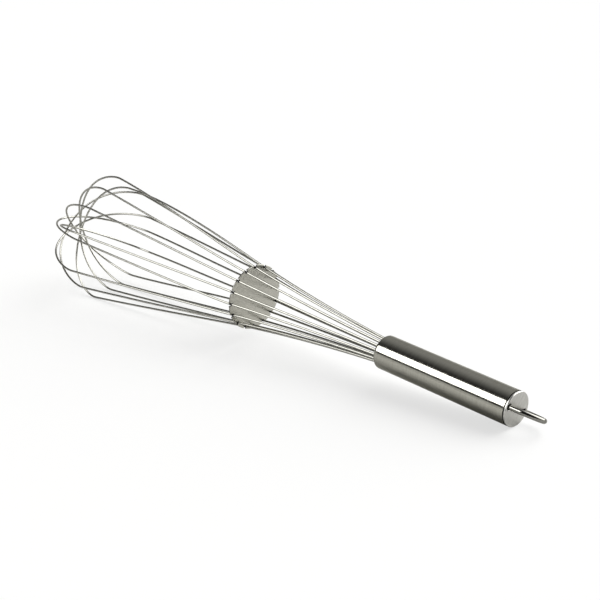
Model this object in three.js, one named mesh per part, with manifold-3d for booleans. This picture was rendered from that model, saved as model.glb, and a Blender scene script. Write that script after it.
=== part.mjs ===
import * as THREE from 'three';
import { mergeVertices } from 'three/addons/utils/BufferGeometryUtils.js';
import Module from 'manifold-3d';

// A long balloon whisk, all of stainless steel, lying on a table as it comes to rest.
// Millimetres and degrees. The whisk is modelled along its own axis, X: the end cap's face stands at 0,
// the hanging loop on the plus side and the head on the minus side. Y and Z lie across the axis.

// Handle tube, its mouth rolled inward to a round lip
const handleDiameter = 25;
const handleLength = 117;
const tubeWall = 0.8;
const lipRadius = 2.2;

// End cap: a flat lid with a plug that fills the end of the tube
const capThickness = 1.4;
const capEdgeRound = 0.6;
const capPlugDepth = 8;

// Hanging loop, a pointed U of thick wire with its legs set in the cap's edge
const loopWireDiameter = 3.8;
const loopReach = 22.8;
const loopStraight = 7;
const loopTipWidth = 9;
const loopLegCover = 1.5;
const loopTurn = 3;

// Resin that fills the mouth and holds the wire ends
const sealRecess = 4;
const sealDepth = 30;
const wireEndCover = 4;

// Bracing disc with an open notch for every wire
const discRadius = 25.8;
const discThickness = 1.2;
const notchDepth = 1.8;
const discDrop = 1.3;

// Wire cage: legs that bow in from the mouth to the disc and out from there to the shoulder, then a dome.
// A leg keeps its direction past the disc for the length of its lead.
const wireDiameter = 1.7;
const throatLength = 134.5;
const throatBow = 1.3;
const cageLength = 174.5;
const legLead = 23;
const legBow = 0.7;
const bellyRadius = 48;
const domeHeight = 41;
const shoulderBend = 10;
const crownFullness = 0.86;
const firstLegAngle = 98.5;
const cageTwist = -5.5;
const cageDrop = 5.5;

// How each loop differs from an even cage: turn in degrees, spread, drop, hump and sway in stray steps, and its
// place in the stack where all loops cross at the head. Hump lifts its first leg before the shoulder, and sway
// bends the lead of its second leg down.
const strayStep = 0.5;
const loopSet = [
  { turn: 5, spread: 1, drop: 5, hump: 16, sway: 0, place: 1 },
  { turn: -1, spread: 2, drop: -10, hump: 5, sway: 0, place: 3 },
  { turn: -5, spread: -4, drop: -4, hump: 0, sway: 0, place: 2 },
  { turn: -8, spread: -14, drop: 5, hump: 0, sway: -6, place: 5 },
  { turn: 3, spread: -2, drop: 4, hump: 0, sway: 10, place: 0 },
  { turn: -2, spread: -19, drop: -7, hump: 0, sway: 10, place: 7 },
  { turn: 1, spread: -7, drop: 7, hump: 0, sway: 5, place: 4 },
  { turn: 6, spread: -1, drop: 1, hump: 0, sway: 5, place: 6 },
];

// Clearances
const fitGap = 0.3;
const lipClearance = 0.95;
const legClearance = 0.4;
const crossingGap = 1.6;

// Fineness of round shapes
const tubeSides = 48;
const arcSteps = 5;
const holeSteps = 6;
const wireSides = 8;
const loopWireSides = 12;
const domeSteps = 14;
const loopBendSteps = 12;
const notchSteps = 4;
const throatSteps = 4;
const cageSteps = 8;

// Sizes that follow from the ones above
const handleRadius = handleDiameter / 2;
const boreRadius = handleRadius - tubeWall;
const lipInnerRadius = handleRadius - lipRadius;
const wireRadius = wireDiameter / 2;
const wireHoleRadius = wireRadius + fitGap;
const loopWireRadius = loopWireDiameter / 2;
const loopHoleRadius = loopWireRadius + fitGap;
const loopLegOffset = boreRadius - loopWireRadius - legClearance;
const loopLegDepth = capPlugDepth - loopLegCover;
const plugRadius = boreRadius - fitGap;
const entryRadius = lipInnerRadius - wireRadius - lipClearance;
const wireEndDepth = sealRecess + sealDepth - wireEndCover;
const notchCircle = discRadius - notchDepth;
const mouthAt = -handleLength;
const discAt = mouthAt - throatLength;
const shoulderAt = discAt - cageLength;
const loopCount = loopSet.length;
const legCount = 2 * loopCount;
const legStep = 360 / legCount;
const bowShare = 2 / 3;
const rad = THREE.MathUtils.degToRad;

const wasm = await Module();
wasm.setup();

const polishedSteel = { color: 0xb9b9b4, roughness: 0.18, metalness: 1 };
const satinSteel = { color: 0xa6a59e, roughness: 0.38, metalness: 1 };
const wireSteel = { color: 0xc2c2be, roughness: 0.15, metalness: 1 };
const resin = { color: 0x3a3a38, roughness: 0.6, metalness: 0 };

function named(name, geometry, finish) {
  const mesh = new THREE.Mesh(geometry, new THREE.MeshStandardMaterial(finish));
  mesh.name = name;
  return mesh;
}

// A point across the axis, from its radius and its angle round the axis
function across(x, radius, degrees, drop = 0) {
  const angle = rad(degrees);
  return new THREE.Vector3(x, radius * Math.cos(angle), radius * Math.sin(angle) - drop);
}

// Solid of revolution round X, from a profile of radius and place along the axis
function turned(profile) {
  const geometry = new THREE.LatheGeometry(profile, tubeSides);
  geometry.rotateZ(-Math.PI / 2);
  return geometry;
}

// Plate of a flat outline, from one place on the axis to another on its plus side
function plate(shape, from, thickness, curveSegments) {
  const geometry = new THREE.ExtrudeGeometry(shape, { depth: thickness, bevelEnabled: false, curveSegments });
  geometry.rotateY(Math.PI / 2);
  geometry.rotateX(Math.PI / 2);
  geometry.translate(from, 0, 0);
  return geometry;
}

function toSolid(geometry) {
  const bare = geometry.clone();
  bare.deleteAttribute('normal');
  bare.deleteAttribute('uv');
  const merged = mergeVertices(bare);
  return new wasm.Manifold(new wasm.Mesh({
    numProp: 3,
    vertProperties: new Float32Array(merged.attributes.position.array),
    triVerts: new Uint32Array(merged.index.array),
  }));
}

function toGeometry(solid) {
  const mesh = solid.getMesh();
  const geometry = new THREE.BufferGeometry();
  geometry.setAttribute('position', new THREE.BufferAttribute(mesh.vertProperties, 3));
  geometry.setIndex(new THREE.BufferAttribute(mesh.triVerts, 1));
  geometry.computeVertexNormals();
  return geometry;
}

// Points of an arc in a profile, from one angle to another
function arc(centre, radius, from, to) {
  const points = [];
  for (let i = 0; i <= arcSteps; i++) {
    const angle = rad(from + (to - from) * (i / arcSteps));
    points.push(new THREE.Vector2(centre.x + radius * Math.cos(angle), centre.y + radius * Math.sin(angle)));
  }
  return points;
}

// Path of bent wire, in stretches that each bring their own number of sections:
// one on a straight, many round a bend
class WirePath extends THREE.Curve {
  constructor(stretches) {
    super();
    this.stretches = stretches;
    this.sections = stretches.reduce((sum, stretch) => sum + stretch.steps, 0);
  }

  getPoint(t) {
    let at = t * this.sections;
    let stretch = this.stretches[0];
    for (const next of this.stretches) {
      stretch = next;
      if (at <= next.steps) {
        break;
      }
      at -= next.steps;
    }
    return stretch.curve.getPoint(Math.min(at / stretch.steps, 1));
  }

  // Sections stand at even steps of t, not at even lengths
  getUtoTmapping(u) {
    return u;
  }
}

function wireAlong(path, radius, sides) {
  const section = new THREE.Shape().absarc(0, 0, radius, 0, 2 * Math.PI);
  return new THREE.ExtrudeGeometry(section, {
    steps: path.sections,
    extrudePath: path,
    curveSegments: sides / 2,
  });
}

const straight = (from, to) => ({ curve: new THREE.LineCurve3(from, to), steps: 1 });
const bowed = (from, by, to) => ({ curve: new THREE.QuadraticBezierCurve3(from, by, to), steps: throatSteps });
const bend = (points, steps) => ({ curve: new THREE.CubicBezierCurve3(...points), steps });

function handleTube() {
  const lipCentre = new THREE.Vector2(lipInnerRadius, mouthAt + lipRadius);
  const capEnd = -capThickness - fitGap;
  const profile = [
    ...arc(lipCentre, lipRadius, -90, 0),
    new THREE.Vector2(handleRadius, capEnd),
    new THREE.Vector2(boreRadius, capEnd),
    ...arc(lipCentre, lipRadius - tubeWall, 0, -90),
  ];
  profile.push(profile[0].clone());
  return named('handle_tube', turned(profile), polishedSteel);
}

function endCap() {
  const edgeCentre = new THREE.Vector2(handleRadius - capEdgeRound, -capEdgeRound);
  const profile = [
    new THREE.Vector2(0, -capPlugDepth),
    new THREE.Vector2(plugRadius, -capPlugDepth),
    new THREE.Vector2(plugRadius, -capThickness),
    new THREE.Vector2(handleRadius, -capThickness),
    ...arc(edgeCentre, capEdgeRound, 0, 90),
    new THREE.Vector2(0, 0),
  ];
  let solid = toSolid(turned(profile));
  const holeLength = capPlugDepth + 2 * fitGap;
  for (const side of [0, 180]) {
    const hole = new THREE.CylinderGeometry(loopHoleRadius, loopHoleRadius, holeLength, 2 * loopWireSides);
    const place = across(-capPlugDepth / 2, loopLegOffset, loopTurn + side);
    hole.rotateZ(-Math.PI / 2);
    hole.translate(place.x, place.y, place.z);
    solid = solid.subtract(toSolid(hole));
  }
  return named('end_cap', toGeometry(solid), satinSteel);
}

function hangingLoop() {
  const onLoop = (x, width) => across(x, width, loopTurn);
  const leg = loopLegOffset;
  const tip = onLoop(loopReach - loopWireRadius, 0);
  const shoulderPull = (loopReach + loopStraight) / 2;
  const path = new WirePath([
    straight(onLoop(-loopLegDepth, leg), onLoop(loopStraight, leg)),
    bend([onLoop(loopStraight, leg), onLoop(shoulderPull, leg), onLoop(tip.x, loopTipWidth / 2), tip], loopBendSteps),
    bend([tip, onLoop(tip.x, -loopTipWidth / 2), onLoop(shoulderPull, -leg), onLoop(loopStraight, -leg)], loopBendSteps),
    straight(onLoop(loopStraight, -leg), onLoop(-loopLegDepth, -leg)),
  ]);
  return named('hanging_loop', wireAlong(path, loopWireRadius, loopWireSides), polishedSteel);
}

function wireSeal() {
  const shape = new THREE.Shape().absarc(0, 0, plugRadius, 0, 2 * Math.PI);
  for (let leg = 0; leg < legCount; leg++) {
    const angle = rad(firstLegAngle + legStep * leg);
    const hole = new THREE.Path();
    hole.absarc(entryRadius * Math.cos(angle), entryRadius * Math.sin(angle), wireHoleRadius, 0, 2 * Math.PI);
    shape.holes.push(hole);
  }
  return named('wire_seal', plate(shape, mouthAt + sealRecess, sealDepth, holeSteps), resin);
}

// The rim runs from notch to notch, and each notch goes round its wire and out again
function spacerDisc() {
  const shape = new THREE.Shape();
  const halfOpening = Math.asin(wireHoleRadius / discRadius);
  for (let leg = 0; leg < legCount; leg++) {
    const angle = rad(firstLegAngle + legStep * leg);
    const next = angle + rad(legStep);
    const floor = new THREE.Vector2(Math.cos(angle), Math.sin(angle)).multiplyScalar(notchCircle);
    const quarter = Math.PI / 2;
    shape.absarc(floor.x, floor.y, wireHoleRadius, angle - quarter, angle + quarter, true);
    shape.absarc(0, 0, discRadius, angle + halfOpening, next - halfOpening);
  }
  shape.closePath();
  const geometry = plate(shape, discAt - discThickness / 2, discThickness, notchSteps);
  geometry.translate(0, 0, -discDrop);
  return named('spacer_disc', geometry, satinSteel);
}

function loopShape(index) {
  const own = loopSet[index];
  return {
    angle: firstLegAngle + legStep * index + cageTwist + own.turn,
    spread: bellyRadius + own.spread * strayStep,
    drop: cageDrop + own.drop * strayStep,
    hump: own.hump * strayStep,
    sway: own.sway * strayStep,
    reach: domeHeight + own.place * (wireDiameter + crossingGap),
  };
}

// Where the leg of this number turns from the straight into the dome
function shoulder(leg) {
  const shape = loopShape(leg % loopCount);
  const side = leg < loopCount ? 0 : 180;
  return across(shoulderAt, shape.spread, shape.angle + side, shape.drop);
}

function wireLoop(index) {
  const shape = loopShape(index);
  const pole = across(shoulderAt - shape.reach, 0, 0, shape.drop);
  const halves = [index, index + loopCount].map((leg) => {
    const legAngle = firstLegAngle + legStep * leg;
    const end = across(mouthAt + wireEndDepth, entryRadius, legAngle);
    const mouth = across(mouthAt, entryRadius, legAngle);
    const notch = across(discAt, notchCircle, legAngle, discDrop);
    const top = shoulder(leg);
    const dent = across(0, 2 * throatBow, legAngle);
    const pinch = mouth.clone().add(notch).divideScalar(2).sub(dent);
    const lead = notch.clone().sub(pinch).setLength(legLead).add(notch);
    const bulge = across(0, 2 * legBow, (legAngle + shape.angle + (leg - index) * legStep) / 2);
    const bow = notch.clone().add(top).divideScalar(2).add(bulge);
    const rise = top.clone().lerp(bow, bowShare);
    if (leg === index) {
      rise.z += shape.hump;
    } else {
      lead.z -= shape.sway;
    }
    const onward = top.clone().sub(rise).setLength(shoulderBend).add(top);
    const outward = top.clone().setX(0).sub(pole.clone().setX(0)).multiplyScalar(crownFullness).add(pole);
    return { end, mouth, pinch, notch, lead, rise, top, onward, outward };
  });
  const [first, second] = halves;
  const path = new WirePath([
    straight(first.end, first.mouth),
    bowed(first.mouth, first.pinch, first.notch),
    bend([first.notch, first.lead, first.rise, first.top], cageSteps),
    bend([first.top, first.onward, first.outward, pole], domeSteps),
    bend([pole, second.outward, second.onward, second.top], domeSteps),
    bend([second.top, second.rise, second.lead, second.notch], cageSteps),
    bowed(second.notch, second.pinch, second.mouth),
    straight(second.mouth, second.end),
  ]);
  return named(`wire_loop_${index + 1}`, wireAlong(path, wireRadius, wireSides), wireSteel);
}

const whisk = new THREE.Group();
whisk.add(handleTube(), endCap(), hangingLoop(), wireSeal(), spacerDisc());
for (let index = 0; index < loopCount; index++) {
  whisk.add(wireLoop(index));
}

// The whisk lies on the cap's rim and on two wires, one on each side of the lowest leg
const lowestLeg = loopCount + 1;
const before = shoulder(lowestLeg - 1);
const after = shoulder(lowestLeg + 1);
whisk.rotation.x = -Math.atan2(after.z - before.z, after.y - before.y);

// It tips about the cap's rim until the first wire meets the table
function restTilt() {
  const point = new THREE.Vector3();
  let tilt = 0;
  whisk.updateMatrixWorld(true);
  whisk.traverse((piece) => {
    if (!piece.isMesh) {
      return;
    }
    const places = piece.geometry.attributes.position;
    for (let i = 0; i < places.count; i++) {
      point.fromBufferAttribute(places, i).applyMatrix4(piece.matrixWorld);
      if (point.x < mouthAt) {
        tilt = Math.max(tilt, Math.atan((point.z + handleRadius) / point.x));
      }
    }
  });
  return tilt;
}

const lying = new THREE.Group();
const tilt = restTilt();
lying.add(whisk);
lying.rotation.y = tilt;
const box = new THREE.Box3().setFromObject(lying, true);
const middle = box.getCenter(new THREE.Vector3());
lying.position.set(-middle.x, -middle.y, -box.min.z);

export default lying;
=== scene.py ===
from math import asin, atan2, cos, pi, radians, sin

import bmesh
import bpy
from mathutils import Matrix, Quaternion, Vector


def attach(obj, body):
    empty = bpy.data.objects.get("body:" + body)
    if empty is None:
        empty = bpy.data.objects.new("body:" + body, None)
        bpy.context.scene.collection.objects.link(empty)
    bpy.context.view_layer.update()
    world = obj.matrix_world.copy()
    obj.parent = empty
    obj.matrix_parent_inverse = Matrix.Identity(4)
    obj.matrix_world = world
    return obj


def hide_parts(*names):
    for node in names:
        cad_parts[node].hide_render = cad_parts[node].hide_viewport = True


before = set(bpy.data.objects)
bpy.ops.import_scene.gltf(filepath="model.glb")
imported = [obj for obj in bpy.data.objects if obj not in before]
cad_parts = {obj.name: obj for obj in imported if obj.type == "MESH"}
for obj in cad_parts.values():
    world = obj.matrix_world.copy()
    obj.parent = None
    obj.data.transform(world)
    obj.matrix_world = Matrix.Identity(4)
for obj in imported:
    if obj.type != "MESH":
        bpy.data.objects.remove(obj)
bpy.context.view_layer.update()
print("frame loaded,", len(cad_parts), "nodes")

scene = bpy.context.scene
scene.view_settings.view_transform = "Standard"
mm = 0.001

# Sizes are in mm on the whisk's own axis, X: the cap's face is at 0 and the head at minus.
# Tube and cage stand here, because they also say how the whisk lies.
handle = {
    "diameter": 25,
    "length": 117,
    "wall": 0.8,
    "lip": 2.2,
    "seamRound": 0.25,
    "seamStart": 1,  # the plain wall ends this far before the seam
    "seamShade": (0.5, 0.9),  # painted shade in the seam: dark up to the first distance from the seam, none from the second on
    "skin": 0.03,  # stays this far inside the faceted solid's corners
    "sides": 160,
    "roundSegments": 8,
}
cage = {
    "wire": 1.7,
    "skin": 0.05,
    "sides": 12,
    "fineness": 16,  # steps between two knots
    "entryRadius": 8.5,
    "endDepth": 30,
    "throat": 134.5,
    "throatBow": 1.3,
    "notchRadius": 24,
    # painted shade where the wires pass the disc's notches: dark up to the first distance, none from the
    # second on
    "notchShade": (1.1, 1.9),
    "length": 174.5,
    "lead": 23,
    "bow": 0.7,
    "belly": 48,
    "dome": 41,
    "shoulderBend": 10,
    "fullness": 0.86,
    "firstAngle": 98.5,
    "twist": -5.5,
    "drop": 5.5,
    "stackGap": 3.3,
    "strayStep": 0.5,
    # turn in degrees, then spread, drop, hump and sway in stray steps, and the place in the stack at the head
    "loops": [
        (5, 1, 5, 16, 0, 1),
        (-1, 2, -10, 5, 0, 3),
        (-5, -4, -4, 0, 0, 2),
        (-8, -14, 5, 0, -6, 5),
        (3, -2, 4, 0, 10, 0),
        (-2, -19, -7, 0, 10, 7),
        (1, -7, 7, 0, 5, 4),
        (6, -1, 1, 0, 5, 6),
    ],
}
loopCount = len(cage["loops"])
legStep = 180 / loopCount
mouthAt = -handle["length"]
discAt = mouthAt - cage["throat"]
shoulderAt = discAt - cage["length"]


def across(x, radius, angle, drop=0):
    turn = radians(angle)
    return Vector((x, radius * cos(turn), radius * sin(turn) - drop))


def shoulder(leg):
    turn, spread, drop, hump, sway, place = cage["loops"][leg % loopCount]
    angle = cage["firstAngle"] + legStep * leg + cage["twist"] + turn
    step = cage["strayStep"]
    return across(shoulderAt, cage["belly"] + spread * step, angle, cage["drop"] + drop * step)


# How the whisk lies, read off the frame: the axis runs through the middles of tube and cap,
# and two shoulders beside the lowest wire stand level.
cornerDecimals = 6  # corners of a solid that agree to this place are one


def middleOf(nodeName):
    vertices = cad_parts[nodeName].data.vertices
    corners = sorted({tuple(round(c, cornerDecimals) for c in v.co) for v in vertices})
    return sum((Vector(c) for c in corners), Vector()) / len(corners)


capMiddle = middleOf("end_cap")
axis = (capMiddle - middleOf("handle_tube")).normalized()
capFace = max(v.co.dot(axis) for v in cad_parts["end_cap"].data.vertices)
levelLine = shoulder(loopCount + 2) - shoulder(loopCount)
lay = (
    Matrix.Translation(capMiddle + axis * (capFace - capMiddle.dot(axis)))
    @ Matrix.Rotation(asin(-axis.z), 4, "Y")
    @ Matrix.Rotation(-atan2(levelLine.z, levelLine.y), 4, "X")
)
laid = lay @ Matrix.Scale(mm, 4)  # whisk millimetres to metres in the frame


def toLinear(hexColour):
    parts = [int(hexColour[i:i + 2], 16) / 255 for i in (1, 3, 5)]
    return [c / 12.92 if c <= 0.04045 else ((c + 0.055) / 1.055) ** 2.4 for c in parts] + [1]


def addNode(tree, kind, inputs=None, **settings):
    node = tree.nodes.new(kind)
    for name, value in settings.items():
        setattr(node, name, value)
    for name, value in (inputs or {}).items():
        if isinstance(value, bpy.types.NodeSocket):
            tree.links.new(value, node.inputs[name])
        else:
            node.inputs[name].default_value = value
    return node


def newFinish(name):
    finish = bpy.data.materials.new(name)
    finish.use_nodes = True
    tree = finish.node_tree
    tree.nodes.clear()
    place = addNode(tree, "ShaderNodeTexCoord").outputs["Object"]
    # millimetres along and across the whisk
    onWhisk = addNode(
        tree, "ShaderNodeMapping",
        {"Vector": place, "Location": lay.translation, "Rotation": lay.to_euler(), "Scale": (mm, mm, mm)},
        vector_type="TEXTURE",
    ).outputs["Vector"]
    return finish, tree, onWhisk


def finishWith(tree, sockets):
    surface = addNode(tree, "ShaderNodeBsdfPrincipled", sockets)
    addNode(tree, "ShaderNodeOutputMaterial", {"Surface": surface.outputs["BSDF"]})


steel = {
    "edge": "#c6c5c3",  # as white as it gets where the eye grazes it
    "paintedShade": "#1c1b19",  # painted shade: dull and dark on the disc's rim and in its notches, round the seam at the cap, where the loop enters the cap and where the wires pass the notches
    "grainDetail": 3,
    "grainBreakUp": 0.6,
    "grainContrast": (0.3, 0.7),
    "bump": 0.25,
}


# Painted shade on the disc's rim and in its notches, as the faces carry it
def paintedShadeOnDiscEdges(tree, onWhisk):
    return addNode(tree, "ShaderNodeAttribute", attribute_name="paintedShade").outputs["Fac"]


# Painted shade: dark up to one distance from a place on the axis, none from the other on
def paintedShadeNear(place, dark, clean):
    def paintedShade(tree, onWhisk):
        along = addNode(tree, "ShaderNodeSeparateXYZ", {"Vector": onWhisk}).outputs["X"]
        away = addNode(tree, "ShaderNodeMath", {0: along, 1: place}, operation="SUBTRACT").outputs[0]
        distance = addNode(tree, "ShaderNodeMath", {0: away}, operation="ABSOLUTE").outputs[0]
        return addNode(
            tree, "ShaderNodeMapRange", {"Value": distance, "From Min": clean, "From Max": dark},
        ).outputs["Result"]

    return paintedShade


# Stainless steel with the streaks of its grinding: tone and gloss change a little from streak to streak.
# A streak's size is in mm along X, Y and Z, coarser than a real one so that it shows; its depth is in mm too.
def groundSteel(name, colour, darkColour, roughness, streak, depth, paintedShade=None, slant=0):
    finish, tree, onWhisk = newFinish(name)
    along = addNode(
        tree, "ShaderNodeMapping",
        {"Vector": onWhisk, "Rotation": (radians(slant), 0, 0), "Scale": streak}, vector_type="TEXTURE",
    ).outputs["Vector"]
    grain = addNode(
        tree, "ShaderNodeTexNoise",
        {"Vector": along, "Scale": 1, "Detail": steel["grainDetail"], "Roughness": steel["grainBreakUp"]},
    ).outputs["Fac"]
    faint, strong = steel["grainContrast"]
    streaks = addNode(
        tree, "ShaderNodeMapRange", {"Value": grain, "From Min": faint, "From Max": strong},
    ).outputs["Result"]
    tone = addNode(
        tree, "ShaderNodeMix",
        {"Factor": streaks, "A": toLinear(darkColour), "B": toLinear(colour)}, data_type="RGBA",
    ).outputs["Result"]
    gloss = addNode(
        tree, "ShaderNodeMapRange", {"Value": streaks, "To Min": roughness[0], "To Max": roughness[1]},
    ).outputs["Result"]
    bump = addNode(
        tree, "ShaderNodeBump", {"Height": streaks, "Strength": steel["bump"], "Distance": depth * mm},
    ).outputs["Normal"]
    # painted shade mixed into the tone where the mark asks for it, and the gloss dulled there
    if paintedShade:
        paintedShadeAmount = paintedShade(tree, onWhisk)
        tone = addNode(
            tree, "ShaderNodeMix",
            {"Factor": paintedShadeAmount, "A": tone, "B": toLinear(steel["paintedShade"])}, data_type="RGBA",
        ).outputs["Result"]
        gloss = addNode(tree, "ShaderNodeMath", {0: paintedShadeAmount, 1: gloss}, operation="MAXIMUM").outputs[0]
    finishWith(tree, {
        "Base Color": tone, "Metallic": 1, "Roughness": gloss, "Normal": bump,
        "Specular Tint": toLinear(steel["edge"]),
    })
    return finish


def newPiece(name, mesh, finish, slot, *nodes):
    mesh.name = name
    mesh.materials.clear()
    mesh.materials.append(finish)
    piece = bpy.data.objects.new(name, mesh)
    scene.collection.objects.link(piece)
    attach(piece, "root")
    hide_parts(*nodes)
    return piece


def applied(obj):
    scene.collection.objects.link(obj)
    mesh = bpy.data.meshes.new_from_object(obj.evaluated_get(bpy.context.evaluated_depsgraph_get()))
    bpy.data.objects.remove(obj)
    return mesh


# Edges sharper than these angles stay sharp, on turned pieces and on the cut ends of wires
turnedEdge = 40
wireEdge = 50
mergeGap = 0.001  # closes the seam and the poles of a turned piece


# A profile of (place on the axis, radius, rounding) turned round the axis
def turned(profile, sides, roundSegments):
    shape = bmesh.new()
    corners = [shape.verts.new((x, radius, 0)) for x, radius, rounding in profile]
    for first, second in zip(corners, corners[1:]):
        shape.edges.new((first, second))
    for corner, (x, radius, rounding) in zip(corners, profile):
        if rounding:
            bmesh.ops.bevel(
                shape, geom=[corner], offset=rounding, offset_type="OFFSET", affect="VERTICES",
                segments=roundSegments, profile=0.5, material=-1,
            )
    bmesh.ops.spin(
        shape, geom=shape.verts[:] + shape.edges[:], cent=(0, 0, 0), axis=(1, 0, 0),
        angle=2 * pi, steps=sides, use_merge=True,
    )
    bmesh.ops.remove_doubles(shape, verts=shape.verts, dist=mergeGap)
    bmesh.ops.recalc_face_normals(shape, faces=shape.faces)
    return shape


def meshOf(shape, name):
    for face in shape.faces:
        face.smooth = True
    mesh = bpy.data.meshes.new(name)
    shape.to_mesh(mesh)
    shape.free()
    mesh.set_sharp_from_angle(angle=radians(turnedEdge))
    return mesh


# Round wire along knots of (handle before, place, handle after)
def bentWire(name, knots, diameter, fineness, sides):
    curve = bpy.data.curves.new(name, "CURVE")
    curve.dimensions = "3D"
    curve.resolution_u = fineness
    curve.bevel_depth = diameter / 2 * mm
    curve.bevel_resolution = (sides - 4) // 2
    curve.use_fill_caps = True
    spline = curve.splines.new("BEZIER")
    spline.bezier_points.add(len(knots) - 1)
    for point, (before, place, after) in zip(spline.bezier_points, knots):
        point.handle_left_type = point.handle_right_type = "FREE"
        point.handle_left, point.co, point.handle_right = laid @ before, laid @ place, laid @ after
    mesh = applied(bpy.data.objects.new(name, curve))
    for face in mesh.polygons:
        face.use_smooth = True
    mesh.set_sharp_from_angle(angle=radians(wireEdge))
    return mesh


cap = {
    "thickness": 1.4,
    "edgeRound": 0.6,
    "plugDepth": 8,
    "plugGap": 0.3,
    "holeGap": 0.3,
    "holeSides": 48,
    "sides": 160,
    "roundSegments": 6,
}
capSeam = -cap["thickness"] - cap["plugGap"]

# Polished while the tube turned: clear reflections with fine rings in them, and painted shade in the seam at
# the cap
handleSteel = groundSteel(
    "tube steel, polished round", "#a3a299", "#98968d", roughness=(0.1, 0.16),
    streak=(0.9, 9, 9), depth=0.002, paintedShade=paintedShadeNear(capSeam, *handle["seamShade"]),
)
# Satin ground straight across: a soft, even sheen with straight streaks
capSteel = groundSteel(
    "cap steel, satin", "#c2c1bd", "#a8a7a3", roughness=(0.3, 0.42), streak=(1, 0.7, 6), depth=0.006,
)


def handleTube():
    outer = handle["diameter"] / 2 - handle["skin"]
    bore = handle["diameter"] / 2 - handle["wall"]
    lipInner = handle["diameter"] / 2 - handle["lip"]
    lipEnd = mouthAt + 2 * handle["lip"]
    innerRound = handle["lip"] - handle["wall"]
    profile = [
        (mouthAt + handle["wall"], lipInner, 0),
        (mouthAt + handle["skin"], lipInner, 0),
        (mouthAt + handle["skin"], outer, handle["lip"]),
        (lipEnd, outer, 0),
        (capSeam - handle["seamStart"], outer, 0),
        (capSeam, outer, handle["seamRound"]),
        (capSeam, bore, 0),
        (lipEnd, bore, 0),
        (mouthAt + handle["wall"], bore, innerRound),
        (mouthAt + handle["wall"], lipInner, 0),
    ]
    shape = turned(profile, handle["sides"], handle["roundSegments"])
    shape.transform(laid)
    return newPiece("handleTube", meshOf(shape, "handleTube"), handleSteel, "handle_steel", "handle_tube")


hangLoop = {
    "wire": 3.8,
    "skin": 0.03,
    "sides": 24,
    "fineness": 24,
    "reach": 22.8,
    "straight": 7,
    "bendStart": 1,  # how far the bend's knot reaches back along the straight leg
    "tipWidth": 9,
    "legDepth": 6.5,
    "legOffset": 9.4,
    "turn": 3,
    # painted shade where the loop enters the cap: dark up to the first distance, none from the second on
    "entryShade": (0.4, 1.4),
}
# Bright bar polished along its length: close to a mirror, with painted shade where it enters the cap
loopSteel = groundSteel(
    "loop steel, polished bar", "#83827d", "#767570", roughness=(0.08, 0.14),
    streak=(6, 1, 1), depth=0.0015, paintedShade=paintedShadeNear(0, *hangLoop["entryShade"]),
)


def endCap():
    outer = handle["diameter"] / 2 - handle["skin"]
    plug = handle["diameter"] / 2 - handle["wall"] - cap["plugGap"]
    profile = [
        (0, 0, 0),
        (0, outer - 2 * cap["edgeRound"], 0),
        (0, outer, cap["edgeRound"]),
        (-cap["thickness"], outer, 0),
        (-cap["thickness"], plug, 0),
        (-cap["plugDepth"], plug, 0),
        (-cap["plugDepth"], 0, 0),
    ]
    lid = bpy.data.objects.new("lid", meshOf(turned(profile, cap["sides"], cap["roundSegments"]), "lid"))
    drill = bmesh.new()
    holeRadius = hangLoop["wire"] / 2 + cap["holeGap"]
    for side in (0, 180):
        place = across(-cap["plugDepth"] / 2, hangLoop["legOffset"], hangLoop["turn"] + side)
        bmesh.ops.create_cone(
            drill, cap_ends=True, segments=cap["holeSides"], radius1=holeRadius, radius2=holeRadius,
            depth=2 * cap["plugDepth"], matrix=Matrix.Translation(place) @ Matrix.Rotation(pi / 2, 4, "Y"),
        )
    bits = bpy.data.objects.new("bits", meshOf(drill, "bits"))
    scene.collection.objects.link(bits)
    cut = lid.modifiers.new("holes", "BOOLEAN")
    cut.operation = "DIFFERENCE"
    cut.solver = "EXACT"
    cut.object = bits
    mesh = applied(lid)
    bpy.data.objects.remove(bits)
    mesh.transform(laid)
    return newPiece("endCap", mesh, capSteel, "cap_steel", "end_cap")


def hangingLoop():
    def onLoop(x, width):
        return across(x, width, hangLoop["turn"])

    start = hangLoop["straight"]
    tip = hangLoop["reach"] - hangLoop["wire"] / 2
    pull = (hangLoop["reach"] + start) / 2
    half = hangLoop["tipWidth"] / 2
    legs = []
    for width in (hangLoop["legOffset"], -hangLoop["legOffset"]):
        legs.append([
            [onLoop(-hangLoop["legDepth"], width)] * 3,
            [onLoop(start - hangLoop["bendStart"], width), onLoop(start, width), onLoop(pull, width)],
        ])
    bend = [onLoop(tip, half), onLoop(tip, 0), onLoop(tip, -half)]
    out, back = legs
    knots = out + [bend] + [knot[::-1] for knot in back[::-1]]
    thickness = hangLoop["wire"] - 2 * hangLoop["skin"]
    mesh = bentWire("hangingLoop", knots, thickness, hangLoop["fineness"], hangLoop["sides"])
    return newPiece("hangingLoop", mesh, loopSteel, "loop_steel", "hanging_loop")


disc = {
    "radius": 25.8,
    "rim": 0.4,
    "drop": 1.3,
    "edgeRound": 0.2,
    "roundSegments": 2,
    "mergeGap": 0.01,
    "flatAngle": 1,  # faces of the solid within this many degrees are one
    "rimAngle": 80,
    # painted shade on the rim's faces and, darker, in the notches
    "rimShade": 0.5,
    "notchShade": 1,
    "faceUpTo": 0.9,  # a face less square to the axis than this is rim or notch
}
# Satin ground at a slant: long faint streaks, a little gloss, and painted shade on the rim and in the notches
discSteel = groundSteel(
    "disc steel, satin ground", "#b2b1a9", "#a3a199", roughness=(0.2, 0.28),
    streak=(1, 9, 0.8), depth=0.004, paintedShade=paintedShadeOnDiscEdges, slant=60,
)


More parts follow.
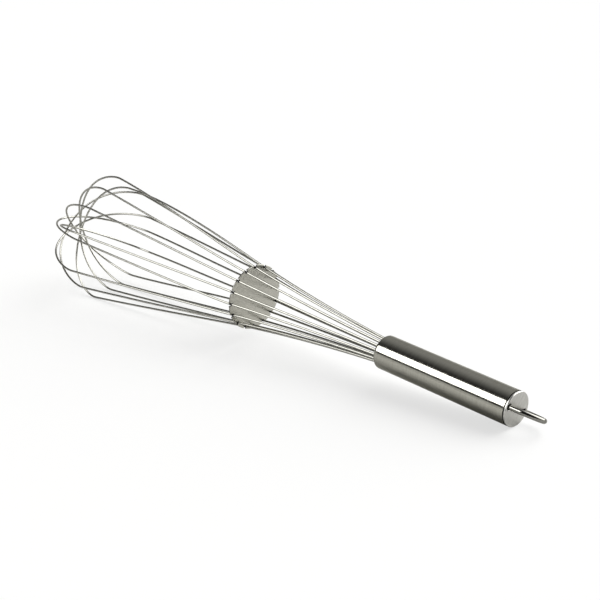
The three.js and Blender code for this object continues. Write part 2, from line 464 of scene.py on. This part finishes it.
# The disc is the solid's own outline with its sharp rim and notches broken
def spacerDisc():
    shape = bmesh.new()
    shape.from_mesh(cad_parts["spacer_disc"].data)
    bmesh.ops.remove_doubles(shape, verts=shape.verts, dist=disc["mergeGap"] * mm)
    bmesh.ops.dissolve_limit(
        shape, angle_limit=radians(disc["flatAngle"]), verts=shape.verts, edges=shape.edges,
    )
    rims = [e for e in shape.edges if e.is_manifold and e.calc_face_angle() > radians(disc["rimAngle"])]
    bmesh.ops.bevel(
        shape, geom=rims, offset=disc["edgeRound"] * mm, offset_type="OFFSET", affect="EDGES",
        segments=disc["roundSegments"], profile=0.5, material=-1,
    )
    # painted shade: rim and notch faces get a dark mark, the notches darkest
    paintedShade = shape.faces.layers.float.new("paintedShade")
    unlaid = laid.inverted()
    for face in shape.faces:
        face.smooth = len(face.verts) <= 4  # the two broad faces have many corners and stay flat
        place = unlaid @ face.calc_center_median() + Vector((0, 0, disc["drop"]))
        inNotch = place.yz.length < disc["radius"] - disc["rim"]
        if abs(face.normal.dot(axis)) < disc["faceUpTo"]:
            face[paintedShade] = disc["notchShade"] if inNotch else disc["rimShade"]
    mesh = bpy.data.meshes.new("spacerDisc")
    shape.to_mesh(mesh)
    shape.free()
    return newPiece("spacerDisc", mesh, discSteel, "disc_steel", "spacer_disc")


# Drawn spring wire: a bright line along every wire, with long draw marks, and painted shade where it passes
# the disc's notches
wireSteel = groundSteel(
    "wire steel, drawn spring wire", "#a6a59f", "#95948d", roughness=(0.11, 0.16),
    streak=(8, 0.6, 0.6), depth=0.002, paintedShade=paintedShadeNear(discAt, *cage["notchShade"]),
)
straightShare = 1 / 3  # a handle this far along a straight wire keeps it even
bentShare = 2 / 3  # a handle this far towards a point bends the wire as that point would pull it


def wireLoop(index):
    turn, spread, drop, hump, sway, place = cage["loops"][index]
    step = cage["strayStep"]
    reach = cage["dome"] + place * cage["stackGap"]
    pole = across(shoulderAt - reach, 0, 0, cage["drop"] + drop * step)
    halves = []
    for leg in (index, index + loopCount):
        legAngle = cage["firstAngle"] + legStep * leg
        end = across(mouthAt + cage["endDepth"], cage["entryRadius"], legAngle)
        mouth = across(mouthAt, cage["entryRadius"], legAngle)
        notch = across(discAt, cage["notchRadius"], legAngle, disc["drop"])
        top = shoulder(leg)
        pinch = (mouth + notch) / 2 - across(0, 2 * cage["throatBow"], legAngle)
        lead = notch + (notch - pinch).normalized() * cage["lead"]
        bow = (notch + top) / 2 + across(0, 2 * cage["bow"], legAngle + (cage["twist"] + turn) / 2)
        rise = top.lerp(bow, bentShare)
        if leg == index:
            rise.z += hump * step
        else:
            lead.z -= sway * step
        onward = top + (top - rise).normalized() * cage["shoulderBend"]
        outward = pole + (top - pole) * Vector((0, cage["fullness"], cage["fullness"]))
        halves.append([
            [end, end, end.lerp(mouth, straightShare)],
            [mouth.lerp(end, straightShare), mouth, mouth.lerp(pinch, bentShare)],
            [notch.lerp(pinch, bentShare), notch, lead],
            [rise, top, onward],
            [outward, pole, outward],
        ])
    first, second = halves
    crossing = [first[-1][0], pole, second[-1][0]]
    knots = first[:-1] + [crossing] + [knot[::-1] for knot in second[-2::-1]]
    name = f"wireLoop{index + 1}"
    mesh = bentWire(name, knots, cage["wire"] - 2 * cage["skin"], cage["fineness"], cage["sides"])
    return newPiece(name, mesh, wireSteel, "wire_steel", f"wire_loop_{index + 1}")


resin = {"dark": "#2c2b29", "pale": "#43413d", "patch": 2, "detail": 2, "roughness": 0.55}


# Epoxy poured into the mouth round the wires: dull dark grey, slightly mottled
def sealResin():
    finish, tree, onWhisk = newFinish("seal resin, poured epoxy")
    mottle = addNode(
        tree, "ShaderNodeTexNoise",
        {"Vector": onWhisk, "Scale": 1 / resin["patch"], "Detail": resin["detail"]},
    ).outputs["Fac"]
    tone = addNode(
        tree, "ShaderNodeMix",
        {"Factor": mottle, "A": toLinear(resin["dark"]), "B": toLinear(resin["pale"])}, data_type="RGBA",
    ).outputs["Result"]
    finishWith(tree, {"Base Color": tone, "Roughness": resin["roughness"]})
    return finish


solidSteel = [handleTube(), endCap(), hangingLoop(), spacerDisc()]
print("handle, cap, loop and disc made")
wires = [wireLoop(index) for index in range(loopCount)]
print("cage bent,", len(wires), "loops")
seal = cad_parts["wire_seal"]
seal.data.materials.clear()
seal.data.materials.append(sealResin())
print("whisk dressed")

# Camera at the photographed angle, in metres, degrees and millimetres of lens
view = {
    "eye": (0.7476, -0.6205, 0.4498),
    "aim": (0.0152, 0.0218, 0.0317),
    "roll": -6.57,
    "lens": 84,
    "sensor": 36,
}


def addCamera():
    data = bpy.data.cameras.new("camera")
    data.lens = view["lens"]
    data.sensor_width = view["sensor"]
    camera = bpy.data.objects.new("camera", data)
    look = (Vector(view["aim"]) - Vector(view["eye"])).to_track_quat("-Z", "Y")
    camera.rotation_mode = "QUATERNION"
    camera.rotation_quaternion = look @ Quaternion((0, 0, 1), radians(view["roll"]))
    camera.location = view["eye"]
    scene.collection.objects.link(camera)
    scene.camera = camera


addCamera()

# Studio, in metres and watts
studio = {
    "floorColour": "#f0f0ee",
    "floorLift": 0.68,  # how much of the floor the eye sees as plain white
    "floorLiftInMetal": 0.08,
    "floorSize": 12,
    "keyDistance": 4.5,
    "keyForward": 2.88,  # from the cap's face towards the head
    "keyLength": 3.03,
    "keyHeight": 2.88,
    "keyRaise": 0.3,
    "keyPower": 215,
    "wireKeyHeight": 7.5,
    "wireKeyRaise": 1.8,
    "wireKeyPower": 300,
    "windowTowards": (0.3, 0.75, 0.59),
    "windowSpread": (42, 24),  # degrees from its middle where its light ends, and where it is full
    "windowLight": 11.2,
    "roomDark": "#1e1e1e",
    "roomPale": "#c4c4c4",
    "wallFade": (-0.42, 0.82),  # from the dark side to the pale one, by the direction's Y
    "coveFade": (0.22, 0.14),  # from the wall down to the floor's white, by the direction's Z
}


# Matt white paper, part of it plain white to the eye and a little in the metal; it keeps the shadow
def addFloor():
    shape = bmesh.new()
    bmesh.ops.create_grid(shape, x_segments=1, y_segments=1, size=studio["floorSize"] / 2)
    mesh = bpy.data.meshes.new("floor")
    shape.to_mesh(mesh)
    shape.free()
    paper = bpy.data.materials.new("floor paper, white")
    paper.use_nodes = True
    tree = paper.node_tree
    tree.nodes.clear()
    path = addNode(tree, "ShaderNodeLightPath").outputs
    mirrored = addNode(
        tree, "ShaderNodeMath",
        {0: path["Is Glossy Ray"], 1: path["Is Transmission Ray"]}, operation="MAXIMUM",
    ).outputs[0]
    inMetal = addNode(
        tree, "ShaderNodeMath", {0: mirrored, 1: studio["floorLiftInMetal"]}, operation="MULTIPLY",
    ).outputs[0]
    lift = addNode(
        tree, "ShaderNodeMath",
        {0: path["Is Camera Ray"], 1: studio["floorLift"], 2: inMetal}, operation="MULTIPLY_ADD",
    ).outputs[0]
    white = addNode(tree, "ShaderNodeEmission", {"Strength": 1}).outputs[0]
    matt = addNode(tree, "ShaderNodeBsdfDiffuse", {"Color": toLinear(studio["floorColour"])}).outputs[0]
    both = addNode(tree, "ShaderNodeMixShader", {0: lift, 1: matt, 2: white})
    addNode(tree, "ShaderNodeOutputMaterial", {"Surface": both.outputs[0]})
    mesh.materials.append(paper)
    floor = bpy.data.objects.new("floor", mesh)
    scene.collection.objects.link(floor)


# A softbox before the whisk and far beyond its head, which only the linked pieces show
def addSoftbox(name, height, raised, power, shownBy):
    foot = lay @ Vector((-studio["keyForward"], 0, 0)) + lay.to_3x3() @ Vector((0, 0, raised))
    outwards = lay.to_3x3() @ Vector((0, -1, 0))
    data = bpy.data.lights.new(name, "AREA")
    data.shape = "RECTANGLE"
    data.size = studio["keyLength"]
    data.size_y = height
    data.energy = power
    box = bpy.data.objects.new(name, data)
    box.location = foot + outwards * studio["keyDistance"]
    box.rotation_euler = (foot - box.location).to_track_quat("-Z", "Y").to_euler()
    box.visible_camera = False
    box.visible_diffuse = False
    linked = bpy.data.collections.new(name)
    for piece in shownBy:
        linked.objects.link(piece)
    box.light_linking.receiver_collection = linked
    scene.collection.objects.link(box)


# Room that lights the whisk and shows in the steel: dark on the near side, a pale wall behind that runs
# down to the white floor, and a bright window high in it. The eye sees plain white in its place.
def addRoom():
    world = bpy.data.worlds.new("room")
    world.use_nodes = True
    tree = world.node_tree
    tree.nodes.clear()
    direction = addNode(tree, "ShaderNodeTexCoord").outputs["Generated"]
    parts = addNode(tree, "ShaderNodeSeparateXYZ", {"Vector": direction}).outputs
    darkEnd, paleEnd = studio["wallFade"]
    back = addNode(
        tree, "ShaderNodeMapRange",
        {"Value": parts["Y"], "From Min": darkEnd, "From Max": paleEnd}, interpolation_type="SMOOTHSTEP",
    ).outputs["Result"]
    wallFoot, floorEdge = studio["coveFade"]
    low = addNode(
        tree, "ShaderNodeMapRange",
        {"Value": parts["Z"], "From Min": wallFoot, "From Max": floorEdge}, interpolation_type="SMOOTHSTEP",
    ).outputs["Result"]
    wall = addNode(
        tree, "ShaderNodeMix",
        {"Factor": back, "A": toLinear(studio["roomDark"]), "B": toLinear(studio["roomPale"])},
        data_type="RGBA",
    ).outputs["Result"]
    tone = addNode(
        tree, "ShaderNodeMix",
        {"Factor": low, "A": wall, "B": toLinear(studio["floorColour"])}, data_type="RGBA",
    ).outputs["Result"]
    facing = addNode(
        tree, "ShaderNodeVectorMath", {0: direction, 1: Vector(studio["windowTowards"]).normalized()},
        operation="DOT_PRODUCT",
    ).outputs["Value"]
    outer, inner = [cos(radians(spread)) for spread in studio["windowSpread"]]
    window = addNode(
        tree, "ShaderNodeMapRange",
        {"Value": facing, "From Min": outer, "From Max": inner, "To Min": 1, "To Max": studio["windowLight"]},
        interpolation_type="SMOOTHSTEP",
    ).outputs["Result"]
    glow = addNode(tree, "ShaderNodeBackground", {"Color": tone, "Strength": window}).outputs[0]
    white = addNode(tree, "ShaderNodeBackground", {"Color": (1, 1, 1, 1), "Strength": 1}).outputs[0]
    toEye = addNode(tree, "ShaderNodeLightPath").outputs["Is Camera Ray"]
    seen = addNode(tree, "ShaderNodeMixShader", {0: toEye, 1: glow, 2: white})
    addNode(tree, "ShaderNodeOutputWorld", {"Surface": seen.outputs[0]})
    scene.world = world


addFloor()
addSoftbox("key", studio["keyHeight"], studio["keyRaise"], studio["keyPower"], solidSteel)
# The wires show a taller and dimmer one, so that their thin highlights don't break up into beads
addSoftbox("wire key", studio["wireKeyHeight"], studio["wireKeyRaise"], studio["wireKeyPower"], wires)
addRoom()
print("studio lit")
